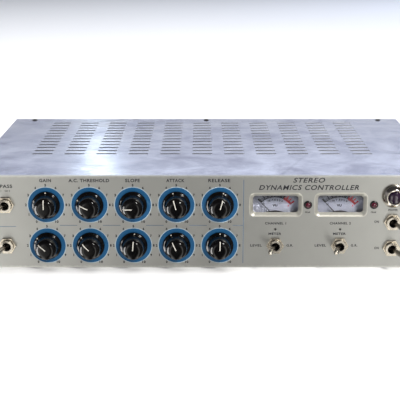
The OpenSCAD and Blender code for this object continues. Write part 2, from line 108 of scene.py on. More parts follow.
# %% Build nodes
def join(tree, out, into):
    tree.links.new(out, into)


def put(tree, kind, inputs=None, **properties):
    made = tree.nodes.new(kind)
    for key, value in properties.items():
        setattr(made, key, value)
    for key, value in (inputs or {}).items():
        if isinstance(value, bpy.types.NodeSocket):
            join(tree, value, made.inputs[key])
        else:
            made.inputs[key].default_value = value
    return made


def reckon(tree, operation, *values, clamp=False):
    inputs = dict(enumerate(values))
    return put(tree, "ShaderNodeMath", inputs, operation=operation, use_clamp=clamp).outputs[0]


def ramp(tree, value, low, high, start=0.0, end=1.0, **properties):
    """A value that goes from low to high comes out going from start to end."""
    inputs = {"Value": value, "From Min": low, "From Max": high, "To Min": start, "To Max": end}
    return put(tree, "ShaderNodeMapRange", inputs, **properties).outputs[0]


# %% Build groups
def group_tree(name, inputs, outputs, kind="ShaderNodeTree"):
    """An empty group. Each input has a kind and a value, and each output a kind."""
    tree = bpy.data.node_groups.new(name, kind)
    for label, (sort, value) in inputs.items():
        made = tree.interface.new_socket(name=label, in_out="INPUT", socket_type="NodeSocket" + sort)
        if value is not None:
            made.default_value = value
    for label, sort in outputs.items():
        tree.interface.new_socket(name=label, in_out="OUTPUT", socket_type="NodeSocket" + sort)
    return tree, put(tree, "NodeGroupInput"), put(tree, "NodeGroupOutput")


# %% [markdown]
# ## Shared surface effects
#
# Real sheet metal is never one value. Four effects come back on almost every finish here, so
# each is a node group with named inputs: a fine drawn grain, broad cloudy blotches, thin
# scratches, and a mark along a plate's border, which is wear on the panel and painted shade at
# the top of the meter's dial card. All of them read Object coordinates, so they stay put on the
# piece.


# %% Grain and blotches
def grain_group():
    tree, given, out = group_tree(
        "drawn grain",
        {"Vector": ("Vector", None), "Stretch": ("Vector", (1, 1, 1)), "Scale": ("Float", 900)},
        {"Height": "Float"})
    stretch = put(tree, "ShaderNodeVectorMath", {
        0: given.outputs["Vector"], 1: given.outputs["Stretch"]}, operation="MULTIPLY")
    noise = put(tree, "ShaderNodeTexNoise", {
        "Vector": stretch.outputs[0], "Scale": given.outputs["Scale"], "Detail": 3, "Roughness": 0.6})
    join(tree, noise.outputs[0], out.inputs["Height"])
    return tree


def blotch_group():
    tree, given, out = group_tree(
        "cloudy blotches", {"Vector": ("Vector", None), "Scale": ("Float", 20), "Contrast": ("Float", 3)},
        {"Mask": "Float"})
    noise = put(tree, "ShaderNodeTexNoise", {
        "Vector": given.outputs["Vector"], "Scale": given.outputs["Scale"], "Detail": 5,
        "Roughness": 0.62, "Distortion": 0.4})
    steep = reckon(
        tree, "MULTIPLY", reckon(tree, "SUBTRACT", noise.outputs[0], 0.5), given.outputs["Contrast"])
    join(tree, reckon(tree, "ADD", steep, 0.5, clamp=True), out.inputs["Mask"])
    return tree


drawn_grain, cloudy_blotches = grain_group(), blotch_group()
print("groups:", drawn_grain.name, "and", cloudy_blotches.name)


# %% Scratches, and wear and painted shade along a border
def scratch_group():
    """Long thin marks: narrow bands of a noise that is stretched one way and then another."""
    tree, given, out = group_tree(
        "scratches", {"Vector": ("Vector", None), "Scale": ("Float", 60), "Amount": ("Float", 0.5)},
        {"Mask": "Float"})
    marks = []
    for turn in (0.35, 1.25, 2.3):
        spin = put(tree, "ShaderNodeVectorRotate", {
            "Vector": given.outputs["Vector"], "Rotation": (0.2 * turn, turn * 0.5, turn)},
            rotation_type="EULER_XYZ")
        stretch = put(tree, "ShaderNodeVectorMath", {
            0: spin.outputs[0], 1: (1, 0.035, 0.5)}, operation="MULTIPLY")
        noise = put(tree, "ShaderNodeTexNoise", {
            "Vector": stretch.outputs[0], "Scale": given.outputs["Scale"], "Detail": 2, "Distortion": 0.15})
        marks.append(ramp(tree, noise.outputs[0], 0.735, 0.76))
    every = reckon(tree, "MAXIMUM", reckon(tree, "MAXIMUM", marks[0], marks[1]), marks[2])
    join(tree, reckon(tree, "MULTIPLY", every, given.outputs["Amount"], clamp=True), out.inputs["Mask"])
    return tree


def border_group():
    """One near the border of a plate that is centred on the vector's X and Y, broken up by noise. On the
    panel it is wear, on the dial card painted shade.
    """
    tree, given, out = group_tree(
        "border wear", {
            "Vector": ("Vector", None), "Half Width": ("Float", 0.2), "Half Height": ("Float", 0.04),
            "Reach": ("Float", 0.002)}, {"Mask": "Float"})
    split = put(tree, "ShaderNodeSeparateXYZ", {0: given.outputs["Vector"]})
    gaps = [reckon(tree, "SUBTRACT", given.outputs[half], reckon(tree, "ABSOLUTE", split.outputs[axis]))
            for axis, half in enumerate(("Half Width", "Half Height"))]
    noise = put(tree, "ShaderNodeTexNoise", {"Vector": given.outputs["Vector"], "Scale": 260, "Detail": 4})
    ragged = reckon(tree, "MULTIPLY", given.outputs["Reach"], noise.outputs[0])
    join(tree, ramp(tree, reckon(tree, "MINIMUM", *gaps), 0, ragged, 1, 0), out.inputs["Mask"])
    return tree


scratches, border_wear_and_shade = scratch_group(), border_group()
print("groups:", scratches.name, "and", border_wear_and_shade.name)

# %% [markdown]
# ## Finishes
#
# One function mixes the shared effects into a Principled shader. Base colour drifts with the
# blotches and brightens or darkens in scratches and along borders, where the border mark is wear
# on the panel and painted shade on the dial card. Roughness moves with them, and the grain goes
# to a Bump node. Values that are the same all over, such as the coat, are set straight on the
# shader.


# %% A function for every finish
def use_group(tree, group, vector, **values):
    inputs = {"Vector": vector, **{key.replace("_", " "): value for key, value in values.items()}}
    return put(tree, "ShaderNodeGroup", inputs, node_tree=group).outputs[0]


def tint(tree, factor, under, over):
    """A mix of two colours, each of them three numbers or another node's output."""
    under, over = ((*side, 1) if isinstance(side, tuple) else side for side in (under, over))
    return put(tree, "ShaderNodeMix", {0: factor, 6: under, 7: over}, data_type="RGBA").outputs[2]


def new_material(name, values):
    """A material with plain values on its shader, and that shader."""
    material = bpy.data.materials.new(name)
    material.use_nodes = True
    surface = material.node_tree.nodes["Principled BSDF"]
    for key, value in values.items():
        surface.inputs[key].default_value = value
    return material, surface


def finish(name, colour, rough, metal=0.0, stain=None, blotch=(18, 2.5), rough_drift=0.1,
           grain=(900, (1, 1, 1), 0.0), scratch=None, border=None, turn=(0, 0, 0), shader=None):
    """A material. stain is the colour in the blotches, scratch is (scale, amount, colour), and
    border is (half width, half height, reach, colour) on the vector after it is turned."""
    material, surface = new_material(name, {"Metallic": metal, **(shader or {})})
    tree = material.node_tree
    place = put(tree, "ShaderNodeTexCoord")
    vector = put(tree, "ShaderNodeMapping", {"Vector": place.outputs["Object"], "Rotation": turn}).outputs[0]
    clouds = use_group(tree, cloudy_blotches, vector, Scale=blotch[0], Contrast=blotch[1])
    paint = tint(tree, clouds, colour, stain or tuple(0.85 * c for c in colour))
    if scratch:
        marks = use_group(tree, scratches, vector, Scale=scratch[0], Amount=scratch[1])
        paint = tint(tree, marks, paint, scratch[2])
    # The border mark is wear on the panel and painted shade on the dial card.
    if border:
        border_mark = use_group(
            tree, border_wear_and_shade, vector, Half_Width=border[0], Half_Height=border[1], Reach=border[2])
        paint = tint(tree, border_mark, paint, border[3])
    join(tree, paint, surface.inputs["Base Color"])
    join(tree, ramp(tree, clouds, 0, 1, rough, rough + rough_drift), surface.inputs["Roughness"])
    if grain[2]:
        drawn = use_group(tree, drawn_grain, vector, Scale=grain[0], Stretch=grain[1])
        bump = put(tree, "ShaderNodeBump", {"Height": drawn, "Strength": grain[2], "Distance": 0.0001})
        join(tree, bump.outputs[0], surface.inputs["Normal"])
    return material


# %% Sizes that the finishes need
panel_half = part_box("front_panel")[1]
# The next two sizes place the painted shade at the top of the dial card.
meter_mid_z = joints["turn_gain_1"]["pos_m"][2]
meter_opening_half = 8.2 * MM
LAID_FLAT = (-math.pi / 2, 0, 0)
print("panel", round(2 * panel_half.x, 4), "by", round(2 * panel_half.z, 4))

# %% [markdown]
# ## Metals
#
# The panel is bead-blasted and clear anodised, so it is soft and even, with handling marks near
# its border. The cover was never painted: it is bare cold-rolled steel, bluish, with storage
# stains, rub marks and a faint rolling grain. Nuts and levers are nickel, a little warm.

# %% Make the metals
panel_satin = finish(
    "panel_satin", (0.39, 0.39, 0.375), 0.29, metal=0.92, stain=(0.35, 0.35, 0.335), blotch=(14, 1.6),
    rough_drift=0.06, grain=(2600, (1, 1, 1), 0.25), scratch=(34, 0.25, (0.54, 0.53, 0.51)),
    border=(panel_half.x, panel_half.z, 0.004, (0.56, 0.555, 0.53)), turn=LAID_FLAT)
cover_steel = finish(
    "cover_steel", (0.56, 0.565, 0.58), 0.15, metal=0.95, stain=(0.30, 0.30, 0.34), blotch=(24, 3.0),
    rough_drift=0.1, grain=(1500, (0.06, 1, 1), 0.01), scratch=(24, 0.75, (0.20, 0.20, 0.22)))
case_steel = finish(
    "case_steel", (0.46, 0.46, 0.48), 0.34, metal=0.95, stain=(0.37, 0.37, 0.39), blotch=(22, 2.4),
    rough_drift=0.14, grain=(1500, (1, 0.06, 1), 0.3), scratch=(40, 0.5, (0.28, 0.28, 0.29)))
nut_nickel = finish(
    "nut_nickel", (0.66, 0.60, 0.50), 0.16, metal=1, stain=(0.50, 0.45, 0.37), blotch=(160, 2.4),
    rough_drift=0.16, grain=(5200, (1, 1, 1), 0.2))
switch_steel = finish(
    "switch_steel", (0.60, 0.56, 0.49), 0.2, metal=1, stain=(0.45, 0.41, 0.35), blotch=(200, 2.2),
    grain=(4200, (1, 1, 1), 0.15))
bezel_chrome = finish(
    "bezel_chrome", (0.70, 0.65, 0.58), 0.1, metal=1, stain=(0.60, 0.55, 0.48), blotch=(120, 2),
    rough_drift=0.08)
trim_polish = finish(
    "meter_trim_polish", (0.56, 0.55, 0.50), 0.3, metal=0.6, stain=(0.45, 0.435, 0.385), blotch=(120, 2))
brass = finish("brass", (0.62, 0.44, 0.18), 0.28, metal=1, blotch=(150, 2))
connector_nickel = finish(
    "connector_nickel", (0.56, 0.55, 0.53), 0.24, metal=1, stain=(0.42, 0.41, 0.39), blotch=(90, 2.4),
    grain=(3600, (1, 1, 1), 0.2))
lip_steel = finish(
    "lip_steel", (0.46, 0.48, 0.54), 0.38, metal=0.75, stain=(0.38, 0.39, 0.43), blotch=(60, 2.5))
screw_black = finish(
    "screw_black", (0.045, 0.045, 0.05), 0.32, metal=0.7, stain=(0.11, 0.10, 0.10), blotch=(500, 3),
    grain=(4000, (1, 1, 1), 0.2))
print("metals ready")

# %% [markdown]
# ## Plastics, paint, card and glass
#
# The knobs are glossy phenolic with fine dust in the blotches. Lamps and the jewel are deep
# red, nearly black when unlit. The meter's pane is thin clear plastic, and shadow rays pass
# through it, so that the card behind is lit as it is in a real meter. The shadow across the
# card's top is painted shade in the card's colour.


# %% Make the rest
def clear_pane(name, colour, rough, ior):
    """Clear plastic that lamps shine through. A low ior stands for a coated pane with little glare."""
    material, surface = new_material(name, {
        "Base Color": (*colour, 1), "Roughness": rough, "Transmission Weight": 1, "IOR": ior})
    tree = material.node_tree
    rays = put(tree, "ShaderNodeLightPath")
    clear = put(tree, "ShaderNodeBsdfTransparent")
    mix = put(tree, "ShaderNodeMixShader", {
        0: rays.outputs["Is Shadow Ray"], 1: surface.outputs[0], 2: clear.outputs[0]})
    join(tree, mix.outputs[0], tree.nodes["Material Output"].inputs["Surface"])
    return material


glossy = {"Coat Weight": 0.25, "Coat Roughness": 0.05}
polished_phenolic = {"Specular IOR Level": 0.25}
knob_black = finish(
    "knob_black", (0.0016, 0.0015, 0.0018), 0.1, stain=(0.003, 0.0026, 0.0026), blotch=(90, 3),
    rough_drift=0.08, scratch=(220, 0.12, (0.012, 0.012, 0.012)), shader=polished_phenolic)
mark_white = finish("mark_white", (0.66, 0.63, 0.57), 0.5, stain=(0.52, 0.50, 0.44), blotch=(300, 2))
disc_blue = finish(
    "disc_blue", (0.003, 0.072, 0.185), 0.45, stain=(0.005, 0.086, 0.21), blotch=(60, 2),
    scratch=(120, 0.3, (0.06, 0.18, 0.32)), shader={"Specular IOR Level": 0.3})
disc_rim = finish("disc_rim", (0.42, 0.53, 0.60), 0.4, blotch=(60, 2))
ink_black = finish(
    "ink_black", (0.012, 0.012, 0.018), 0.55, stain=(0.03, 0.03, 0.036), blotch=(400, 2.5),
    shader={"Specular IOR Level": 0.25})
ink_grey = finish("ink_grey", (0.09, 0.15, 0.23), 0.45, blotch=(200, 2))
ink_red = finish("ink_red", (0.52, 0.030, 0.035), 0.5, blotch=(300, 2))
meter_black = finish(
    "meter_black", (0.016, 0.016, 0.018), 0.4, blotch=(120, 2), grain=(4000, (1, 1, 1), 0.2))
# The dial card's border mark is painted shade: towards the top of the meter's opening the card darkens to
# dark olive, standing in for the shadow that the bezel casts on it.
dial_card = finish(
    "dial_card", (0.40, 0.41, 0.50), 0.6, stain=(0.35, 0.36, 0.44), blotch=(60, 2), turn=LAID_FLAT,
    border=(1.0, meter_mid_z + meter_opening_half, 0.019, (0.05, 0.05, 0.035)))
needle_black = finish("needle_black", (0.02, 0.02, 0.022), 0.45, blotch=(300, 2))
lamp_holder = finish("lamp_holder", (0.006, 0.005, 0.006), 0.2, blotch=(300, 2), shader=glossy)
lamp_red = finish(
    "lamp_red", (0.075, 0.004, 0.014), 0.1, stain=(0.045, 0.003, 0.012), blotch=(300, 2), shader=glossy)
jewel_dark = finish(
    "jewel_dark", (0.006, 0.003, 0.008), 0.05, stain=(0.016, 0.004, 0.020), blotch=(200, 3),
    shader={"Coat Weight": 0.3, "Coat Roughness": 0.03})
# bore_dark is painted shade: near black for the inside of the toggle bushings, where the deep bore is in
# shade.
bore_dark = finish("bore_dark", (0.012, 0.010, 0.009), 0.6, blotch=(200, 2))
connector_black = finish(
    "connector_black", (0.020, 0.020, 0.022), 0.38, stain=(0.034, 0.034, 0.035), blotch=(70, 2),
    grain=(3000, (1, 1, 1), 0.3))
board_green = finish("board_green", (0.02, 0.12, 0.05), 0.4, stain=(0.03, 0.15, 0.07), blotch=(300, 4))
socket_ceramic = finish("socket_ceramic", (0.80, 0.77, 0.70), 0.35, blotch=(60, 2))
toroid_tape = finish("toroid_tape", (0.62, 0.42, 0.10), 0.3, blotch=(40, 3), grain=(600, (1, 1, 0.2), 0.6))
can_painted = finish("can_painted", (0.10, 0.17, 0.26), 0.4, blotch=(50, 2))
capacitor_sleeve = finish("capacitor_sleeve", (0.03, 0.05, 0.16), 0.28, blotch=(50, 2))
meter_glass = clear_pane("meter_glass", (0.97, 0.98, 1.0), 0.03, 1.2)
valve_glass = clear_pane("valve_glass", (0.92, 0.95, 0.95), 0.02, 1.46)
print(len(bpy.data.materials), "materials")

# %% [markdown]
# ## Helpers for pieces
#
# A piece is a mesh at the origin whose place is in its points. It rides on a body and may stand
# for a CAD node, which it hides. Turned parts come from one lathe function: a profile of radius
# and distance out of the panel, with its corners rounded by a short curve, is swung about an axis
# that points out of the panel.


# %% Finish a piece
def piece(name, mesh, material, body="chassis", replaces=(), smooth=30):
    mesh.materials.clear()
    mesh.materials.append(material)
    mesh.shade_smooth()
    mesh.set_sharp_from_angle(angle=math.radians(smooth))
    made = bpy.data.objects.new(name, mesh)
    scene.collection.objects.link(made)
    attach(made, body)
    if replaces:
        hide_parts(*replaces)
    return made


def mesh_from(bm, name):
    mesh = bpy.data.meshes.new(name)
    bm.to_mesh(mesh)
    bm.free()
    return mesh


# %% Turn a profile
def rounded(points, radius, steps=4):
    """The open outline with each inner corner swapped for a short curve. Radius 0 keeps it sharp."""
    radii = radius if isinstance(radius, (list, tuple)) else [radius] * len(points)
    smooth = [Vector(points[0])]
    for before, here, after, reach in zip(points, points[1:], points[2:], radii[1:]):
        here, into, out = Vector(here), Vector(before) - Vector(here), Vector(after) - Vector(here)
        reach = min(reach, into.length * 0.49, out.length * 0.49)
        if reach < 1e-6:
            smooth.append(here)
            continue
        start, end = here + into.normalized() * reach, here + out.normalized() * reach
        for step in range(steps + 1):
            t = step / steps
            smooth.append((1 - t) ** 2 * start + 2 * t * (1 - t) * here + t * t * end)
    smooth.append(Vector(points[-1]))
    return smooth


def lathe_mesh(name, profile, centre, steps=72, tilt=0):
    """The profile, in millimetres, swung about the Y axis through centre. A tilt turns it about Z."""
    bm = bmesh.new()
    rings = []
    for radius, out in profile:
        if radius < 1e-6:
            rings.append([bm.verts.new((0, -out, 0))])
            continue
        turns = [2 * math.pi * k / steps for k in range(steps)]
        rings.append([bm.verts.new((radius * math.cos(t), -out, radius * math.sin(t))) for t in turns])
    closed = [*rings, rings[0]] if len(rings[0]) > 1 and len(rings[-1]) > 1 else rings
    for low, high in zip(closed, closed[1:]):
        for k in range(steps):
            corners = list(dict.fromkeys([low[k % len(low)], low[(k + 1) % len(low)],
                                          high[(k + 1) % len(high)], high[k % len(high)]]))
            if len(corners) > 2:
                bm.faces.new(corners)
    bmesh.ops.recalc_face_normals(bm, faces=bm.faces)
    place = Matrix.Translation(centre) @ Matrix.Rotation(tilt, 4, "Z") @ Matrix.Scale(MM, 4)
    bm.transform(place)
    return mesh_from(bm, name)


# %% Skin a row of rings
def skinned(name, rings, place, shut=False):
    """Rings of points, in millimetres, with faces from each ring to the next. Shut skins meet
    their own start; the others get a cap at both ends."""
    bm = bmesh.new()
    loops = [[bm.verts.new(point) for point in ring] for ring in rings]
    for low, high in zip(loops, [*loops[1:], loops[0]] if shut else loops[1:]):
        for k in range(len(low)):
            j = (k + 1) % len(low)
            bm.faces.new([low[k], low[j], high[j], high[k]])
    if not shut:
        bm.faces.new(loops[0])
        bm.faces.new(reversed(loops[-1]))
    bmesh.ops.recalc_face_normals(bm, faces=bm.faces)
    bm.transform(place @ Matrix.Scale(MM, 4))
    return mesh_from(bm, name)


# %% [markdown]
# ## Softened sheet metal and hardware
#
# The folded case, its cover, the panel and the nuts already have the right shape in the model.
# Their edges are perfectly sharp, though, and a sharp edge never catches light. Each is copied,
# its loose triangles are merged into large faces, and a Bevel modifier rounds every edge by a
# few tenths of a millimetre.


# %% Copy and soften nodes
def merged(node):
    bm = bmesh.new()
    bm.from_mesh(nodes[node].data)
    bmesh.ops.remove_doubles(bm, verts=bm.verts, dist=2e-6)
    bmesh.ops.dissolve_limit(bm, angle_limit=math.radians(0.8), verts=bm.verts, edges=bm.edges)
    return bm


def soften(node, material, width, name, body="chassis", segments=2):
    """A copy of a node with its edges rounded by a width in millimetres."""
    made = piece(name, mesh_from(merged(node), node), material, body, [node])
    bevel = made.modifiers.new("softened edges", "BEVEL")
    bevel.width = width * MM
    bevel.segments = segments
    bevel.limit_method = "ANGLE"
    bevel.angle_limit = math.radians(38)
    bevel.harden_normals = True
    return made


def solids(node):
    """The box of each separate solid of a node, left to right and then bottom to top."""
    bm = merged(node)
    left, boxes = set(bm.verts), []
    while left:
        island, front = set(), [left.pop()]
        while front:
            vert = front.pop()
            island.add(vert)
            near = {edge.other_vert(vert) for edge in vert.link_edges} & left
            left -= near
            front.extend(near)
        low = Vector(min(v.co[i] for v in island) for i in range(3))
        high = Vector(max(v.co[i] for v in island) for i in range(3))
        boxes.append((low, high))
    bm.free()
    return sorted(boxes, key=lambda box: (round(box[0].x, 4), box[0].z))


def middle_of(box):
    return (box[0] + box[1]) / 2


# %% Soften the case and its hardware
soften("front_panel", panel_satin, 0.3, "panel_plate")
soften("top_cover", cover_steel, 0.22, "cover_sheet")
soften("chassis_tray", case_steel, 0.3, "case_tray")
soften("rear_panel", case_steel, 0.3, "rear_sheet")
soften("machine_screws", screw_black, 0.12, "case_screws")
soften("switch_nuts", nut_nickel, 0.35, "hex_nuts", segments=3)
soften("switch_bodies", switch_steel, 0.3, "toggle_bodies")
soften("pot_bodies", switch_steel, 0.3, "control_bodies")
soften("pot_nuts", nut_nickel, 0.3, "control_nuts")
soften("meter_housings", meter_black, 0.4, "meter_cases")
soften("meter_windows", meter_glass, 0.2, "meter_panes")

# %% [markdown]
# ## Knobs
#
# Each knob is a turned skirt with a tapering grip. The end face rolls over into the flank with
# a wide radius, and that roll is what carries the long pale highlight. A line of white filler
# runs from the middle of the face over the rim, and a white dot marks the skirt. Both are
# separate pieces that ride with the knob, turned to where the control is set at rest.

# %% Controls and their places
CONTROLS = ["gain", "threshold", "slope", "attack", "release"]
SWEEP = 150
controls = {}
for channel in (1, 2):
    for control in CONTROLS:
        joint = joints[f"turn_{control}_{channel}"]
        rest = math.radians(-SWEEP - joint["range_deg"][0])
        controls[f"{control}_{channel}"] = (Vector(joint["pos_m"]), rest)
knob_low, knob_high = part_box("knob_gain_1")
skirt_r = (knob_high.x - knob_low.x) / 2 / MM
proud = -knob_low.y / MM
print("ten controls; skirt radius", round(skirt_r, 2), "mm, proud", round(proud, 2), "mm")

# %% Knob shapes
GRIP_BASE_R = 10.6
GRIP_END_R = 9.1
ROLL = 5.3
SKIRT_TOP = 3.0
MARK_END = 8.5
MARK_W = 0.85
DOT_R = 0.62
DOT_AT = 11.75
outer_profile = rounded(
    [(skirt_r - 0.05, 0.65), (skirt_r - 0.05, SKIRT_TOP - 0.9), (skirt_r - 0.75, SKIRT_TOP),
     (GRIP_BASE_R, SKIRT_TOP + 0.8), (GRIP_END_R, proud - 0.02), (0.0, proud - 0.02)],
    [0, 0.5, 0.45, 1.2, ROLL, 0], steps=12)
hollow = [(0.0, 14.5), (3.05, 14.5), (3.05, 5.0), (8.5, 5.0)]
knob_profile = [Vector((8.5, 0.65)), *outer_profile, *map(Vector, hollow)]


def knob_out(radius):
    """How far out the knob's surface is at a radius, read from its profile."""
    for low, high in zip(outer_profile, outer_profile[1:]):
        if high.x <= radius <= low.x:
            share = (low.x - radius) / max(low.x - high.x, 1e-9)
            return low.y + (high.y - low.y) * share
    return proud


# %% Make the knobs
def knob_mark(angle, centre):
    """The filled line: a narrow strip that follows the face and rolls over its rim."""
    rings = []
    for k in range(25):
        radius = 0.1 + k * (MARK_END - 0.1) / 24
        out = knob_out(radius)
        rings.append([(side * MARK_W / 2, -(out + lift), radius + lift * 0.3)
                      for side, lift in ((-1, -0.3), (-1, 0.05), (1, 0.05), (1, -0.3))])
    return skinned("mark", rings, Matrix.Translation(centre) @ Matrix.Rotation(angle, 4, "Y"))


dot_out = knob_out(DOT_AT - DOT_R * 0.6)
dot_profile = rounded([(0, dot_out + 0.1), (DOT_R, dot_out), (DOT_R, 2.2), (0, 2.2)], [0, 0.1, 0, 0])
knob_bodies = bpy.data.collections.new("knob bodies")
for name, (centre, angle) in controls.items():
    knob = piece(f"knob_body_{name}", lathe_mesh("knob", knob_profile, centre, steps=96), knob_black,
                 body=name, replaces=[f"knob_{name}"], smooth=50)
    knob_bodies.objects.link(knob)
    piece(f"knob_line_{name}", knob_mark(angle, centre), mark_white, body=name)
    dot_place = centre + Vector((math.sin(angle), 0, math.cos(angle))) * DOT_AT * MM
    piece(f"knob_dot_{name}", lathe_mesh("dot", dot_profile, dot_place, steps=24), mark_white, body=name)
print("knobs made:", len(controls))

# %% [markdown]
# ## Printed discs and numbers
#
# Behind every knob the panel carries a blue disc with a thin pale rim and the numbers 0 to 10,
# thirty degrees apart. The same print repeats ten times, which is a job for Geometry Nodes: one
# tree draws a disc from named sizes, and another stamps a ready ring of numbers. Both put their
# shape on one point per control, make the instances real and set the ink.


# %% Grow pieces from points
def grow(name, tree, points, material, slot=None, smooth=30, **inputs):
    """Runs a tree on a cloud of points and keeps the result as a plain mesh."""
    cloud = bpy.data.meshes.new(name + "_points")
    cloud.from_pydata([tuple(p) for p in points], [], [])
    carrier = bpy.data.objects.new(name + "_carrier", cloud)
    scene.collection.objects.link(carrier)
    modifier = carrier.modifiers.new("grow", "NODES")
    modifier.node_group = tree
    values = {"Material": material, **{key.replace("_", " "): value for key, value in inputs.items()}}
    for item in tree.interface.items_tree:
        if item.in_out == "INPUT" and item.name in values:
            modifier[item.identifier] = values[item.name]
    carrier.update_tag()
    shaped = carrier.evaluated_get(bpy.context.evaluated_depsgraph_get())
    mesh = bpy.data.meshes.new_from_object(shaped)
    carrier.modifiers.remove(modifier)
    bpy.data.objects.remove(carrier)
    return piece(name, mesh, material, smooth=smooth)


def growing_tree(name, inputs):
    """A Geometry Nodes group that also takes the material of what it grows."""
    return group_tree(
        name, {"Geometry": ("Geometry", None), "Material": ("Material", None), **inputs},
        {"Geometry": "Geometry"}, kind="GeometryNodeTree")


def spread(tree, given, out, shape):
    """The tail that every tree shares: one shape on each point, made real, with its material."""
    placed = put(tree, "GeometryNodeInstanceOnPoints", {
        "Points": given.outputs["Geometry"], "Instance": shape})
    real = put(tree, "GeometryNodeRealizeInstances", {0: placed.outputs[0]})
    coloured = put(tree, "GeometryNodeSetMaterial", {
        "Geometry": real.outputs[0], "Material": given.outputs["Material"]})
    join(tree, coloured.outputs[0], out.inputs["Geometry"])
    return tree


# %% The disc and its rim
def disc_tree():
    tree, given, out = growing_tree(
        "printed disc", {"Radius": ("Float", 0.0165), "Thickness": ("Float", 0.00006)})
    thick = given.outputs["Thickness"]
    drum = put(tree, "GeometryNodeMeshCylinder", {
        "Vertices": 96, "Radius": given.outputs["Radius"], "Depth": thick})
    offset = put(tree, "ShaderNodeCombineXYZ", {"Y": reckon(tree, "MULTIPLY", thick, -0.5)})
    stand = put(tree, "GeometryNodeTransform", {
        "Geometry": drum.outputs["Mesh"], "Translation": offset.outputs[0],
        "Rotation": (math.pi / 2, 0, 0)})
    return spread(tree, given, out, stand.outputs[0])


control_places = [centre for centre, angle in controls.values()]
printed_disc = disc_tree()
grow("dial_rims", printed_disc, control_places, disc_rim, Radius=0.0171, Thickness=0.00004)
grow("dial_discs", printed_disc, control_places, disc_blue, Radius=0.0165, Thickness=0.00008)
print("discs on", len(control_places), "points")


# %% Words as meshes
INK = 0.05
INK_SPREAD = 0.03


def word_mesh(words, width, height, middle, y=0.0, slant=0.0, facing=-1, bold=0.0):
    """Words fitted to a width and a cap height, in millimetres, about a middle in metres."""
    letters = bpy.data.curves.new("letters", "FONT")
    letters.body = words
    letters.size = 1
    letters.space_character = 1.12
    letters.shear = slant
    letters.offset = INK_SPREAD + bold
    letters.resolution_u = 3
    letters.extrude = 0.5
    flat = bpy.data.objects.new("letters", letters)
    scene.collection.objects.link(flat)
    shaped = flat.evaluated_get(bpy.context.evaluated_depsgraph_get())
    mesh = bpy.data.meshes.new_from_object(shaped)
    bpy.data.objects.remove(flat)
    xs = [v.co.x for v in mesh.vertices]
    ys = [v.co.y for v in mesh.vertices]
    size = Vector((width / (max(xs) - min(xs)), height / (max(ys) - min(ys)), INK)) * MM
    centre = Vector(((max(xs) + min(xs)) / 2, (max(ys) + min(ys)) / 2, 0))
    stand = Matrix.Rotation(math.pi / 2, 4, "X") if facing < 0 else (
        Matrix.Rotation(math.pi, 4, "Z") @ Matrix.Rotation(math.pi / 2, 4, "X"))
    place = Matrix.Translation((middle[0], y + facing * INK * MM / 2, middle[1]))
    mesh.transform(place @ stand @ Matrix.Diagonal((*size, 1)) @ Matrix.Translation(-centre))
    return mesh


def joined(meshes, name):
    """Many meshes as one."""
    bm = bmesh.new()
    for mesh in meshes:
        bm.from_mesh(mesh)
        bpy.data.meshes.remove(mesh)
    return mesh_from(bm, name)


# %% The numbers round a disc
NUMBER_R = 18.5
NUMBER_H = 2.5


def number_ring():
    """The numbers 0 to 10 about the origin, ready to be stamped."""
    marks = []
    for k in range(11):
        angle = math.radians(-SWEEP + 2 * SWEEP * k / 10)
        middle = (NUMBER_R * MM * math.sin(angle), NUMBER_R * MM * math.cos(angle))
        width = 0.6 if k == 1 else 1.6 * len(str(k))
        marks.append(word_mesh(str(k), width, NUMBER_H, middle, bold=0.02))
    return joined(marks, "number ring")


def stamp_tree():
    tree, given, out = growing_tree("stamp on points", {"Stamp": ("Object", None)})
    info = put(tree, "GeometryNodeObjectInfo", {"Object": given.outputs["Stamp"]})
    return spread(tree, given, out, info.outputs["Geometry"])


stamp = bpy.data.objects.new("number_ring", number_ring())
scene.collection.objects.link(stamp)
numbers = grow("dial_numbers", stamp_tree(), control_places, ink_black, Stamp=stamp)
bpy.data.objects.remove(stamp)
print("numbers:", len(numbers.data.polygons), "faces")

# %% [markdown]
# ## Rolled lips round the vent slots
#
# A punch leaves each slot with a small rolled lip, and the lips are what make rows of slots
# shimmer. The slots' places and size are read from the cover itself: every closed loop of sharp
# edges on its top face, apart from the outline, is a slot. A tree then sweeps one round bead
# about a slot's outline and puts it on all of them.


# %% Find the slots
def slot_boxes():
    """The corners of each slot-sized loop of edges on the cover's top face, in rows."""
    bm = merged("top_cover")
    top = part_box("top_cover")[1].z
    flat = [edge for edge in bm.edges if min(vert.co.z for vert in edge.verts) > top - 1e-5]
    rims = [edge for edge in flat if any(abs(face.normal.z) < 0.5 for face in edge.link_faces)]
    links = {}
    for edge in rims:
        first, second = edge.verts
        links.setdefault(first, []).append(second)
        links.setdefault(second, []).append(first)
    found, left = [], set(links)
    while left:
        loop, front = [], [left.pop()]
        while front:
            vert = front.pop()
            loop.append(vert.co.copy())
            near = [other for other in links[vert] if other in left]
            left.difference_update(near)
            front.extend(near)
        low = Vector(min(point[i] for point in loop) for i in range(3))
        high = Vector(max(point[i] for point in loop) for i in range(3))
        found.append((low, high))
    bm.free()
    slots_only = [(low, high) for low, high in found
                  if 0.008 < high.x - low.x < 0.03 and high.y - low.y < 0.01]
    return sorted(slots_only, key=lambda box: (round(box[0].x, 4), box[0].y))


def lip_tree():
    tree, given, out = growing_tree(
        "rolled lip",
        {"Length": ("Float", 0.02), "Width": ("Float", 0.003), "Bead": ("Float", 0.0003)})
    wide = given.outputs["Width"]
    outline = put(tree, "GeometryNodeCurvePrimitiveQuadrilateral", {
        "Width": given.outputs["Length"], "Height": wide})
    ends = put(tree, "GeometryNodeFilletCurve", {
        "Curve": outline.outputs[0], "Radius": reckon(tree, "MULTIPLY", wide, 0.499), "Count": 5},
        mode="POLY")
    bead = put(tree, "GeometryNodeCurvePrimitiveCircle", {"Resolution": 6, "Radius": given.outputs["Bead"]})
    swept = put(tree, "GeometryNodeCurveToMesh", {
        "Curve": ends.outputs[0], "Profile Curve": bead.outputs[0]})
    return spread(tree, given, out, swept.outputs[0])


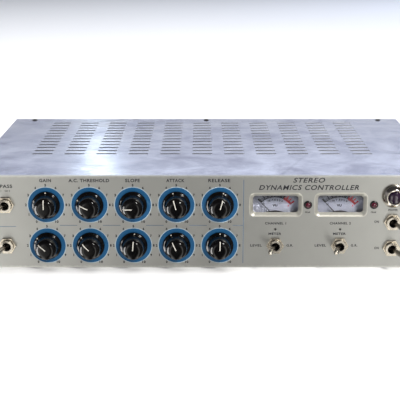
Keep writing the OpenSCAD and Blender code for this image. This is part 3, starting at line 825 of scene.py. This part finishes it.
slots = slot_boxes()
slot_size = slots[0][1] - slots[0][0]
slot_middles = [middle_of(box) for box in slots]
grow("slot_lips", lip_tree(), slot_middles, lip_steel, slot="cover_steel", smooth=60,
     Length=slot_size.x, Width=slot_size.y, Bead=0.00022)
print(len(slots), "slots of", round(slot_size.x / MM, 2), "by", round(slot_size.y / MM, 2), "mm")

# %% [markdown]
# ## Words and lines on the panel
#
# The words are single pieces of print, so a text object is made a mesh and fitted between two
# ends on the panel. Places are measured from the control, meter or switch that a word belongs
# to. The lines are thin plates of ink, with gaps where a column of knobs interrupts them.

# %% Plates of ink
MODEL_TITLE = ["STEREO", "DYNAMICS CONTROLLER"]


def plate_mesh(x0, x1, z0, z1):
    """A thin plate of ink between two corners, in millimetres."""
    bm = bmesh.new()
    bmesh.ops.create_cube(bm, size=1)
    size = (x1 - x0, INK, z1 - z0)
    middle = Vector(((x0 + x1) / 2, -INK / 2, (z0 + z1) / 2))
    bm.transform(Matrix.Scale(MM, 4) @ Matrix.Translation(middle) @ Matrix.Diagonal((*size, 1)))
    return mesh_from(bm, "plate")


# %% Places of the words
needle_pivots = [Vector(joints[f"swing_needle_{c}"]["pos_m"]) for c in (1, 2)]
meter_x = [pivot.x / MM for pivot in needle_pivots]
switches = {name: Vector(joints[f"flip_{name}"]["pos_m"]) for name in
            ("bypass_1", "bypass_2", "meter_1", "meter_2", "power", "link")}
column_x = {control: controls[f"{control}_1"][0].x / MM for control in CONTROLS}
row_z = [controls[f"gain_{c}"][0].z / MM for c in (1, 2)]
leds = [middle_of(box) / MM for box in solids("led_holders")]
pilot = middle_of(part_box("pilot_bezel")) / MM
bypass_x = switches["bypass_1"].x / MM
title_x = (meter_x[0] + meter_x[1]) / 2
CAP = 3.2
SMALL_CAP = 2.3
FINE_CAP = 1.5
HEADING_UP = 23.0
print("columns", [round(x, 1) for x in column_x.values()], "rows", [round(z, 1) for z in row_z])

# %% Print the panel
HEADINGS = {"gain": ("GAIN", 10.8, 0), "threshold": ("A.C. THRESHOLD", 37, 0), "slope": ("SLOPE", 13.4, 0),
            "attack": ("ATTACK", 16.6, -0.8), "release": ("RELEASE", 20, -0.6)}
words = [(text, width, CAP, column_x[control] + aside, row_z[0] + HEADING_UP)
         for control, (text, width, aside) in HEADINGS.items()]
words += [
    ("BYPASS", 17.6, CAP, bypass_x - 1.7, row_z[0] + 17.6),
    ("CH 1    CH 2", 12.5, FINE_CAP, bypass_x - 1.4, row_z[0] + 13.2),
    ("POWER", 8.6, 1.9, pilot.x, row_z[0] - 4.9),
    ("ON", 4.2, SMALL_CAP, pilot.x - 14.6, switches["power"].z / MM + 0.3),
    ("ON", 4.2, SMALL_CAP, pilot.x - 13.5, switches["link"].z / MM - 0.1),
]
for channel, x in enumerate(meter_x):
    words += [
        (f"CHANNEL {channel + 1}", 19.4, SMALL_CAP, x, row_z[0] - 17.6),
        ("METER", 11.8, SMALL_CAP, x - 0.4, row_z[0] - 27.7),
        ("LEVEL", 10.6, SMALL_CAP, x - 17.6, row_z[1]),
        ("G.R.", 6.2, SMALL_CAP, x + 13.6, row_z[1]),
        ("PEAK", 5.0, FINE_CAP, leds[channel].x, row_z[0] - 7.0),
    ]
print_meshes = [word_mesh(text, width, cap, (x * MM, z * MM)) for text, width, cap, x, z in words]
piece("panel_words", joined(print_meshes, "words"), ink_black)
titles = [
    word_mesh(MODEL_TITLE[0], 29, 4.6, (title_x * MM, 39.7 * MM), slant=0.25, bold=-0.01),
    word_mesh(MODEL_TITLE[1], 91, 4.7, (title_x * MM, 32.8 * MM), slant=0.25, bold=-0.01),
]
piece("panel_title", joined(titles, "title"), ink_black)
print(len(words), "words printed")

# %% Print the lines
LINE_W = 0.5
DIVIDER_X = 32.5
DIVIDER_W = 0.6
DIVIDER_REACH = 40
GAP_AFTER_KNOB = 11.8
DASH = 16.1
BYPASS_ENDS = (-219, -176.5)
BYPASS_DROP = 1.15
line_low = (row_z[0] + row_z[1]) / 2 - 0.1 - LINE_W / 2
knob_step = column_x["threshold"] - column_x["gain"]
lines = []
for k in range(5):
    start = column_x["gain"] + k * knob_step + GAP_AFTER_KNOB
    lines.append(plate_mesh(start, min(start + DASH, DIVIDER_X), line_low, line_low + LINE_W))
lines.append(plate_mesh(*BYPASS_ENDS, line_low - BYPASS_DROP, line_low - BYPASS_DROP + LINE_W))
lines.append(plate_mesh(
    DIVIDER_X - DIVIDER_W / 2, DIVIDER_X + DIVIDER_W / 2, -DIVIDER_REACH, DIVIDER_REACH))
piece("panel_lines", joined(lines, "lines"), ink_grey)
print(len(lines), "lines printed")

# %% [markdown]
# ## Toggle switches
#
# A bat lever widens towards its tip, and its polished end throws the brightest glints on the
# panel. Round it is a threaded bushing whose bore is painted black inside as shade. The thread
# is a helix: Geometry Nodes make a spiral as long as the bushing and sweep a small five-sided
# profile along it.

# %% Levers
LEVER_TILT = 15
LEVER_REACH = 22.8
bat = [(0, -5), (1.15, -5), (1.15, -2.8), (2.4, -1.9), (3.0, 0), (2.4, 1.9), (1.75, 2.6), (1.75, 6),
       (2.45, LEVER_REACH - 3.6), (2.4, LEVER_REACH - 1.2), (1.5, LEVER_REACH - 0.1), (0, LEVER_REACH)]
bat_profile = rounded(bat, [0, 0.3, 0.3, 0.6, 1.2, 0.6, 0.4, 2, 1.6, 0.9, 0.6, 0], steps=5)
for name, pivot in switches.items():
    low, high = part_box(f"lever_{name}")
    tip_left = abs(low.x - pivot.x) > abs(high.x - pivot.x)
    tilt = math.radians(-LEVER_TILT if tip_left else LEVER_TILT)
    piece(f"bat_{name}", lathe_mesh("bat", bat_profile, pivot, steps=48, tilt=tilt), switch_steel,
          body=f"switch_{name}", replaces=[f"lever_{name}"], smooth=60)
print("levers:", ", ".join(switches))


# %% Bushing threads, and painted shade in the bores
def thread_tree():
    tree, given, out = growing_tree(
        "bushing thread",
        {"Radius": ("Float", 0.0059), "Length": ("Float", 0.0026), "Turns": ("Float", 4.5),
         "Tooth": ("Float", 0.00022)})
    radius = given.outputs["Radius"]
    coil = put(tree, "GeometryNodeCurveSpiral", {
        "Resolution": 48, "Rotations": given.outputs["Turns"], "Start Radius": radius, "End Radius": radius,
        "Height": given.outputs["Length"]})
    tooth = put(tree, "GeometryNodeCurvePrimitiveCircle", {
        "Resolution": 5, "Radius": given.outputs["Tooth"]})
    swept = put(tree, "GeometryNodeCurveToMesh", {
        "Curve": coil.outputs[0], "Profile Curve": tooth.outputs[0], "Fill Caps": True})
    stand = put(tree, "GeometryNodeTransform", {
        "Geometry": swept.outputs[0], "Rotation": (math.pi / 2, 0, 0)})
    return spread(tree, given, out, stand.outputs[0])


bushing_fronts = [pivot + Vector((0, -2.75 * MM, 0)) for pivot in switches.values()]
grow("bushing_threads", thread_tree(), bushing_fronts, switch_steel, slot="switch_steel", smooth=60,
     Radius=0.00575, Length=0.0024, Turns=4.5, Tooth=0.0002)
# A black sleeve and back wall inside each bushing are painted shade: they darken the bore as its own depth
# would.
bore = rounded([(3.96, -5.9), (3.96, 4.6), (3.86, 4.6), (3.86, -5.6), (0.0, -5.6), (0.0, -5.9)], 0)
for name, pivot in switches.items():
    piece(f"bore_lining_{name}", lathe_mesh("bore", bore, pivot, steps=48), bore_dark)
print("threads and bores on", len(switches), "switches")

# %% [markdown]
# ## Meters
#
# The cut-out in the panel is a bevel that slopes inward, polished brighter than the panel. A
# lofted frame of metal lies on that slope. Behind the clear pane is the dial card. Its scale is
# a thin black arc that ends in a broad red one, with ticks outside the arc and numbers inside.


# %% The polished frame
def round_rectangle(width, height, radius, y, steps=10):
    corners = [(1, 1, 0), (-1, 1, 90), (-1, -1, 180), (1, -1, 270)]
    points = []
    for sx, sz, start in corners:
        for k in range(steps + 1):
            angle = math.radians(start + 90 * k / steps)
            points.append((sx * (width / 2 - radius) + radius * math.cos(angle), y,
                           sz * (height / 2 - radius) + radius * math.sin(angle)))
    return points


def frame_mesh(centre):
    """Rings that step over the lip, down the slope and back under it: a closed, rounded strip."""
    rings = [(48.9, 23.0, 4.9, -0.02), (48.5, 22.6, 4.7, -0.16), (47.6, 21.7, 4.4, -0.04),
             (44.8, 18.9, 3.7, 1.25), (42.2, 16.3, 3.0, 2.75), (41.6, 15.7, 2.8, 3.1),
             (41.9, 16.0, 2.9, 3.3), (48.4, 22.5, 4.6, 0.2)]
    outlines = [round_rectangle(*ring) for ring in rings]
    return skinned("frame", outlines, Matrix.Translation(centre), shut=True)


for channel, x in enumerate(meter_x):
    centre = Vector((x * MM, 0, row_z[0] * MM))
    piece(f"meter_frame_{channel + 1}", frame_mesh(centre), trim_polish, smooth=50)
print("frames at", [round(x, 1) for x in meter_x])


# %% The dial's scale
SCALE_R = 18.7
SCALE_LEFT = -43
RED_FROM = 24.5
SCALE_RIGHT = 50
MARKS = [(-43, "20"), (-30, ""), (-20, "10"), (-9, "7"), (0, "5"), (8, "3"), (16, "2"), (24.5, "0"),
         (33, ""), (41.5, ""), (50, "3")]
MARK_REACH = 4.2
TICK_REACH = 2.6
TICK_STEP = 3.1
FIGURES_R = 16.0
dial_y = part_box("meter_dials")[0].y / MM


def band_mesh(pivot, inner, outer, start, end, steps=40):
    """A flat band between two radii and two angles, clockwise from upright, as thick as the ink."""
    corners = [(inner, dial_y), (outer, dial_y), (outer, dial_y - INK), (inner, dial_y - INK)]
    rings = []
    for k in range(steps + 1):
        angle = math.radians(start + (end - start) * k / steps)
        rings.append([(r * math.sin(angle), y, r * math.cos(angle)) for r, y in corners])
    return skinned("band", rings, Matrix.Translation((pivot.x, 0, pivot.z)))


def dial_art(pivot):
    """Black and red meshes of one dial."""
    black = [band_mesh(pivot, SCALE_R - 0.4, SCALE_R + 0.3, SCALE_LEFT, RED_FROM)]
    red = [band_mesh(pivot, SCALE_R - 0.9, SCALE_R + 1.2, RED_FROM + 0.6, SCALE_RIGHT + 2)]

    def tick(angle, reach, half, steps):
        made = band_mesh(pivot, SCALE_R, SCALE_R + reach, angle - half, angle + half, steps)
        (red if angle > RED_FROM else black).append(made)

    for angle, label in MARKS:
        tick(angle, MARK_REACH, 2.1 if label else 1.3, steps=2)
        if label:
            turned = math.radians(angle)
            spot = (pivot.x + FIGURES_R * MM * math.sin(turned), pivot.z + FIGURES_R * MM * math.cos(turned))
            figure = word_mesh(label, 0.85 * len(label) + 0.5, 1.7, spot, y=dial_y * MM)
            (red if angle > RED_FROM else black).append(figure)
    for k in range(1, 28):
        tick(SCALE_LEFT + TICK_STEP * k, TICK_REACH, 0.75, steps=1)
    black.append(word_mesh("VU", 4.6, 2.4, (pivot.x, pivot.z + 10.6 * MM), y=dial_y * MM, bold=0.03))
    return joined(black, "black scale"), joined(red, "red scale")


for channel, pivot in enumerate(needle_pivots):
    black_mesh, red_mesh = dial_art(pivot)
    piece(f"dial_scale_{channel + 1}", black_mesh, ink_black)
    piece(f"dial_red_zone_{channel + 1}", red_mesh, ink_red)
    soften(f"needle_{channel + 1}", needle_black, 0.08, f"needle_painted_{channel + 1}",
           body=f"pointer_{channel + 1}", segments=1)
soften("meter_dials", dial_card, 0.1, "dial_cards")
print("dials drawn at depth", round(dial_y, 2), "mm")

# %% [markdown]
# ## Lamps
#
# The peak lamps are small domes in black collars. The pilot lamp is a large chrome bezel, domed
# like a washer, round a cut glass jewel. The jewel's facets are real flat faces, because they
# are what makes its glints jump.

# %% Peak lamps
collar = rounded([(2.56, -8), (3.2, -8), (3.2, 0.02), (3.9, 0.02), (3.9, 0.8), (3.3, 1.4), (2.56, 1.4)],
                 [0, 0.1, 0, 0.1, 0.4, 0.4, 0], steps=5)
LENS_R = 2.5
dome = [Vector((LENS_R * math.sin(math.radians(a)), 0.9 + LENS_R * math.cos(math.radians(a))))
        for a in range(90, 0, -9)]
lens = [Vector((0, -8)), Vector((LENS_R, -8)), *dome, Vector((0, 3.4))]
led_places = [Vector((led.x, 0, led.z)) * MM for led in leds]
collars = [lathe_mesh("collar", collar, place, steps=48) for place in led_places]
lenses = [lathe_mesh("lens", lens, place, steps=48) for place in led_places]
piece("lamp_collars", joined(collars, "collars"), lamp_holder, replaces=["led_holders"])
piece("lamp_lenses", joined(lenses, "lenses"), lamp_red, replaces=["led_lamps"], smooth=60)
print("lamps at", [round(led.x, 1) for led in leds])

# %% Pilot lamp
pilot_centre = Vector((pilot.x, 0, pilot.z)) * MM
pilot_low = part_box("pilot_bezel")[0]
bezel_r = pilot.x - pilot_low.x / MM
bezel_out = -pilot_low.y / MM
bezel = rounded(
    [(6.15, -28), (7.8, -28), (7.8, 0.02), (bezel_r, 0.02), (bezel_r, 1.2), (bezel_r - 1.2, 4.0),
     (bezel_r - 3.0, 6.2), (6.9, bezel_out), (6.15, bezel_out - 0.3)],
    [0, 0.2, 0, 0.2, 0.9, 1.4, 1.2, 0.3, 0], steps=6)
piece("pilot_bezel_chrome", lathe_mesh("bezel", bezel, pilot_centre, steps=96), bezel_chrome,
      replaces=["pilot_bezel"], smooth=40)


def jewel_mesh(centre, sides=10):
    """A cut stone: alternate rings of facets between the girdle and a small flat table."""
    rings = [(6.0, -20, 0), (6.0, 5.3, 0), (5.6, 6.5, 0), (4.3, 7.3, 0.5), (2.4, 7.75, 0), (1.2, 7.85, 0.5)]
    bm = bmesh.new()
    for radius, out, shift in rings:
        for k in range(sides):
            turn = 2 * math.pi * (k + shift) / sides
            bm.verts.new((radius * math.cos(turn), -out, radius * math.sin(turn)))
    bmesh.ops.convex_hull(bm, input=bm.verts)
    bmesh.ops.recalc_face_normals(bm, faces=bm.faces)
    bm.transform(Matrix.Translation(centre) @ Matrix.Scale(MM, 4))
    return mesh_from(bm, "jewel")


piece("pilot_jewel_cut", jewel_mesh(pilot_centre), jewel_dark,
      replaces=["pilot_jewel"], smooth=5)
print("pilot lamp at", [round(v, 1) for v in pilot])

# %% [markdown]
# ## The rear and the inside
#
# The back carries two sockets, two plugs, two jacks, the mains inlet and the fuse. The model's
# own shapes are right, so they are softened: moulded black for the sockets, nickel for the plugs
# and latches. Inside, the nodes keep their shapes and only get finishes.

# %% Soften the connectors
soften("xlr_inputs", connector_black, 0.25, "input_sockets")
soften("xlr_outputs", connector_nickel, 0.25, "output_plugs")
soften("sidechain_jacks", connector_black, 0.25, "jack_sockets")
soften("mains_inlet", connector_black, 0.3, "inlet_body")
soften("fuse_holder", connector_black, 0.3, "fuse_body")
soften("fuse_cap", connector_black, 0.3, "fuse_cap_moulded", body="fuse_carrier")
for channel in (1, 2):
    soften(f"xlr_latch_{channel}", connector_nickel, 0.3, f"latch_tab_{channel}", body=f"latch_{channel}")
print("connectors softened")

# %% Print the rear labels
rear_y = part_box("rear_panel")[1].y
ABOVE = 5.5


def wide_solids(node, least):
    """The solids of a node that are at least so many millimetres wide."""
    return [box for box in solids(node) if box[1].x - box[0].x > least * MM]


LABELS = [("xlr_inputs", "INPUT", 22), ("xlr_outputs", "OUTPUT", 22), ("sidechain_jacks", "KEY", 8)]
LETTER_W = 2.1
LABEL_H = 2.6
rear_words = []
for node, label, least in LABELS:
    for channel, box in enumerate(wide_solids(node, least)):
        width = LETTER_W * (len(label) + 2)
        rear_words.append((f"{label} {channel + 1}", width, middle_of(box).x, box[1].z + ABOVE * MM))
for node, label in (("mains_inlet", "MAINS"), ("fuse_holder", "FUSE")):
    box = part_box(node)
    rear_words.append((label, LETTER_W * len(label), middle_of(box).x, box[1].z + ABOVE * MM))
labels = [word_mesh(text, width, LABEL_H, (x, z), y=rear_y, facing=1)
          for text, width, x, z in rear_words]
piece("rear_labels", joined(labels, "rear labels"), mark_white)
print(len(rear_words), "rear labels:", ", ".join(text for text, *rest in rear_words))

# %% Give the inside its finishes
inside = {
    "circuit_board": board_green, "board_standoffs": brass, "valve_sockets": socket_ceramic,
    "valves": valve_glass, "mains_transformer": toroid_tape, "output_transformers": can_painted,
    "filter_capacitors": capacitor_sleeve, "meter_movements": switch_steel,
    **{f"shaft_{name}": brass for name in controls},
}
for node, material in inside.items():
    nodes[node].data.materials.clear()
    nodes[node].data.materials.append(material)
print("inside:", len(inside), "nodes finished")

# %% [markdown]
# ## Floor and light
#
# A plain pale floor, a large soft source overhead, and a smaller key light high on the right that
# draws the toggles' shadows down to the left. A low card on the left shines on the knobs alone
# and gives each its pale crescent. Behind the unit, a narrow cool window and a broad glow are
# mirrored in the cover.

# %% Lay the floor
SPAN = 8
floor_card, _ = new_material("floor", {
    "Base Color": (0.92, 0.92, 0.92, 1), "Roughness": 0.9, "Specular IOR Level": 0.1})
floor_z = cad_box[0].z
floor_mesh = bpy.data.meshes.new("floor")
corners = [(-SPAN, -SPAN, floor_z), (SPAN, -SPAN, floor_z), (SPAN, SPAN, floor_z), (-SPAN, SPAN, floor_z)]
floor_mesh.from_pydata(corners, [], [(0, 1, 2, 3)])
floor_mesh.materials.append(floor_card)
floor = bpy.data.objects.new("floor", floor_mesh)
scene.collection.objects.link(floor)
floor.visible_glossy = False
print("floor at", round(floor_z, 4))


# %% Hang the lights
def lamp(name, place, aim, size, power, colour=(1, 1, 1)):
    data = bpy.data.lights.new(name, "AREA")
    data.shape = "RECTANGLE"
    data.size, data.size_y = size
    data.energy = power
    data.color = colour
    made = bpy.data.objects.new(name, data)
    made.location = place
    made.rotation_euler = (Vector(aim) - Vector(place)).to_track_quat("-Z", "Y").to_euler()
    scene.collection.objects.link(made)
    return made


overhead = lamp("overhead", (0, 0.3, 2.2), (0, 0.2, 0), (3.0, 3.0), 92)
overhead.visible_glossy = False
lamp("key", (0.85, -1.1, 1.15), (0.1, 0, 0), (0.24, 0.24), 24, (1, 0.98, 0.93))
left_card = lamp("left card", (-1.23, -0.41, -0.42), (-0.1, 0, 0), (1.15, 1.1), 70, (1, 0.98, 0.97))
left_card.visible_diffuse = False
left_card.light_linking.receiver_collection = knob_bodies
lamp("rear window", (-0.41, 3.0, 1.25), (-0.05, 0, 0), (0.10, 0.9), 1.6, (0.72, 0.86, 1))
lamp("rear glow", (1.35, 3.0, 1.1), (0.1, 0, 0), (0.5, 1.0), 15, (0.62, 0.74, 1))
lights = [item for item in scene.objects if item.type == "LIGHT"]
for light in lights:
    light.visible_camera = False
print(len(lights), "lights")


# %% The room that metal mirrors
FRONT_MIDDLE = (0.07, 0.07, 0.075)
FRONT_SIDES = (4.5, 4.44, 4.2)
FRONT_ABOVE = (0.30, 0.30, 0.32)
REAR_LOW = (0.42, 0.42, 0.43)
REAR_SKY = (1.16, 1.26, 1.62)
FAR_SIDES = (0.22, 0.22, 0.22)
CEILING = (0.05, 0.05, 0.055)


def room_light():
    """Dim in front where the maker stands, bright to both sides, a cool sky at the back, and a dark
    ceiling over all."""
    world = bpy.data.worlds.new("studio")
    world.use_nodes = True
    tree = world.node_tree

    def soft(value, low, high):
        return ramp(tree, value, low, high, interpolation_type="SMOOTHSTEP")

    where = put(tree, "ShaderNodeTexCoord")
    split = put(tree, "ShaderNodeSeparateXYZ", {0: where.outputs["Generated"]})
    across, depth, height = (split.outputs[axis] for axis in "XYZ")
    sideways = reckon(tree, "ABSOLUTE", across)
    sides = tint(tree, soft(sideways, 0.06, 0.42), FRONT_MIDDLE, FRONT_SIDES)
    low_front = tint(tree, soft(sideways, 0.30, 0.52), sides, FAR_SIDES)
    front = tint(tree, soft(height, -0.08, 0.16), low_front, FRONT_ABOVE)
    rear = tint(tree, soft(height, 0.17, 0.27), REAR_LOW, REAR_SKY)
    drift = ramp(tree, across, -0.3, 0.3, 0.78, 1.15)
    uneven = put(tree, "ShaderNodeVectorMath", {0: rear, "Scale": drift}, operation="SCALE").outputs[0]
    room = tint(tree, soft(depth, 0.0, 0.5), front, uneven)
    covered = tint(tree, soft(height, 0.34, 0.55), room, CEILING)
    join(tree, covered, tree.nodes["Background"].inputs["Color"])
    return world


scene.world = room_light()
print("room:", scene.world.name)
